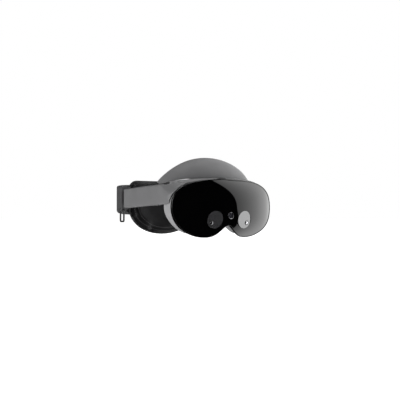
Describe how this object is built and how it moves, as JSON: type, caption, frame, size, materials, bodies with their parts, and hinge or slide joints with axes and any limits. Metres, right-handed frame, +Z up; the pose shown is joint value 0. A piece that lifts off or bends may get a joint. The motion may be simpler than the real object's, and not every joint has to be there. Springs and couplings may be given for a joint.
{
  "type": "vr headset",
  "caption": "Virtual reality headset with a curved glossy visor, rigid halo strap, forehead shell, padded rear battery unit with a fit wheel, sliding lenses and tracking cameras.",
  "frame": {"origin": "middle of the bounding box at the resting surface, under the visor's lower lobes and the rear cushion", "axes": "+Z up as worn, -Y is where the wearer looks, +X is the wearer's left"},
  "size_m": [0.1962, 0.285, 0.1283],
  "materials": {
    "band_nylon": "moulded",
    "barrel_black": "matt",
    "battery_foil": "foil",
    "board_green": "solder mask",
    "bush_brass": "turned",
    "camera_black": "matt",
    "camera_ring": "turned",
    "cushion_leather": "fine leather",
    "dial_dark": "ribbed",
    "display_glass": "polished",
    "face_black": "matt",
    "fan_black": "moulded",
    "frame_alloy": "cast",
    "gasket_rubber": "matt",
    "gear_white": "moulded",
    "halo_grey": "soft satin",
    "housing_grey": "fine grain",
    "key_grey": "satin",
    "lens_glass": "polished",
    "loop_steel": "black coated",
    "pad_leather": "fine leather",
    "port_steel": "stamped",
    "rail_steel": "ground",
    "rear_dark": "fine grain",
    "screw_steel": "black zinc",
    "shell_grey": "soft satin",
    "sink_alloy": "extruded",
    "speaker_black": "moulded",
    "status_clear": "polished",
    "tongue_dark": "satin",
    "visor_gloss": "polished",
    "wheel_rubber": "knurled",
    "window_dark": "polished"
  },
  "bodies": {
    "headset": {"front_visor": "visor_gloss", "visor_gasket": "gasket_rubber", "front_housing": "housing_grey", "top_cover": "housing_grey", "eye_cover": "face_black", "mid_frame": "frame_alloy", "halo_frame": "halo_grey", "arm_cover_left": "face_black", "arm_cover_right": "face_black", "tracking_window_left": "window_dark", "tracking_window_right": "window_dark", "tracking_camera_left": "camera_black", "tracking_camera_right": "camera_black", "centre_camera": "camera_ring", "centre_camera_lens": "lens_glass", "main_board": "board_green", "heat_sink": "sink_alloy", "fan_housing": "fan_black", "lens_rail_upper": "rail_steel", "lens_rails_lower": "rail_steel", "speaker_left": "speaker_black", "speaker_right": "speaker_black", "status_lens": "status_clear", "housing_screws": "screw_steel", "key_boards": "board_green"},
    "forehead_rest": {"forehead_shell": "shell_grey", "forehead_plate": "face_black", "forehead_cushion": "cushion_leather"},
    "distance_dial_body": {"distance_dial": "dial_dark"},
    "lens_unit_left": {"lens_barrel_left": "barrel_black", "eye_lens_left": "lens_glass", "display_left": "display_glass"},
    "lens_unit_right": {"lens_barrel_right": "barrel_black", "eye_lens_right": "lens_glass", "display_right": "display_glass"},
    "spacing_gear": {"spacing_pinion": "gear_white"},
    "fan_wheel": {"fan_rotor": "fan_black"},
    "rear_unit": {"rear_housing": "rear_dark", "rear_cover": "face_black", "rear_pad_plate": "face_black", "rear_cushion": "pad_leather", "battery_left": "battery_foil", "battery_right": "battery_foil", "battery_rear": "battery_foil", "battery_board": "board_green", "strap_tongue_left": "tongue_dark", "strap_tongue_right": "tongue_dark", "tooth_band_left": "band_nylon", "tooth_band_right": "band_nylon", "tongue_pins": "screw_steel", "pad_screws": "screw_steel", "wheel_bush": "bush_brass", "charge_port": "port_steel"},
    "wheel_unit": {"fit_wheel": "wheel_rubber", "drive_pinion": "gear_white"},
    "rack_left": {"drive_rack_left": "band_nylon"},
    "rack_right": {"drive_rack_right": "band_nylon"},
    "power_key": {"power_button": "key_grey"},
    "volume_key": {"volume_rocker": "key_grey"},
    "loop": {"cable_loop": "loop_steel"}
  },
  "joints": [
    {"name": "rear_slide", "type": "slide", "parent": "headset", "child": "rear_unit", "axis": [0, 1, 0], "range_m": [-0.006, 0.05]},
    {"name": "fit_wheel_spin", "type": "hinge", "parent": "rear_unit", "child": "wheel_unit", "pos_m": [0, 0.1385, 0.06], "axis": [0, 1, 0], "range_deg": [-57.4, 477.6]},
    {"name": "rack_left_slide", "type": "slide", "parent": "rear_unit", "child": "rack_left", "axis": [1, 0, 0], "range_m": [-0.006, 0.05]},
    {"name": "rack_right_slide", "type": "slide", "parent": "rear_unit", "child": "rack_right", "axis": [-1, 0, 0], "range_m": [-0.006, 0.05]},
    {"name": "forehead_slide", "type": "slide", "parent": "headset", "child": "forehead_rest", "axis": [0, 1, 0], "range_m": [0, 0.008]},
    {"name": "distance_dial_spin", "type": "hinge", "parent": "headset", "child": "distance_dial_body", "pos_m": [0, -0.108, 0.092], "axis": [0, 0, 1], "range_deg": [0, 131]},
    {"name": "lens_left_slide", "type": "slide", "parent": "headset", "child": "lens_unit_left", "axis": [1, 0, 0], "range_m": [-0.0045, 0.0045]},
    {"name": "lens_right_slide", "type": "slide", "parent": "headset", "child": "lens_unit_right", "axis": [-1, 0, 0], "range_m": [-0.0045, 0.0045]},
    {"name": "spacing_pinion_spin", "type": "hinge", "parent": "headset", "child": "spacing_gear", "pos_m": [0, -0.1155, 0.048], "axis": [0, 1, 0], "range_deg": [-51.6, 51.6]},
    {"name": "fan_spin", "type": "hinge", "parent": "headset", "child": "fan_wheel", "pos_m": [0, -0.1165, 0.0715], "axis": [0, 1, 0], "continuous": true},
    {"name": "power_press", "type": "slide", "parent": "headset", "child": "power_key", "axis": [0, 0, 1], "range_m": [0, 0.0006], "stiffness_N_per_m": 800, "springref_m": -0.001},
    {"name": "volume_rock", "type": "hinge", "parent": "headset", "child": "volume_key", "pos_m": [0.0886, -0.0585, 0.0549], "axis": [1, 0, 0], "range_deg": [-2.5, 2.5], "stiffness_Nm_per_rad": 0.2},
    {"name": "loop_swing", "type": "hinge", "parent": "rear_unit", "child": "loop", "pos_m": [-0.092, 0.0735, 0.0442], "axis": [0, 1, 0], "range_deg": [-45, 45]}
  ],
  "couplings": [
    {"joint": "fit_wheel_spin", "follows": "rear_slide", "rad_per_m": 166.67},
    {"joint": "rack_left_slide", "follows": "rear_slide", "ratio": 1},
    {"joint": "rack_right_slide", "follows": "rear_slide", "ratio": 1},
    {"joint": "distance_dial_spin", "follows": "forehead_slide", "rad_per_m": 285.71},
    {"joint": "lens_right_slide", "follows": "lens_left_slide", "ratio": 1},
    {"joint": "spacing_pinion_spin", "follows": "lens_left_slide", "rad_per_m": 200}
  ]
}
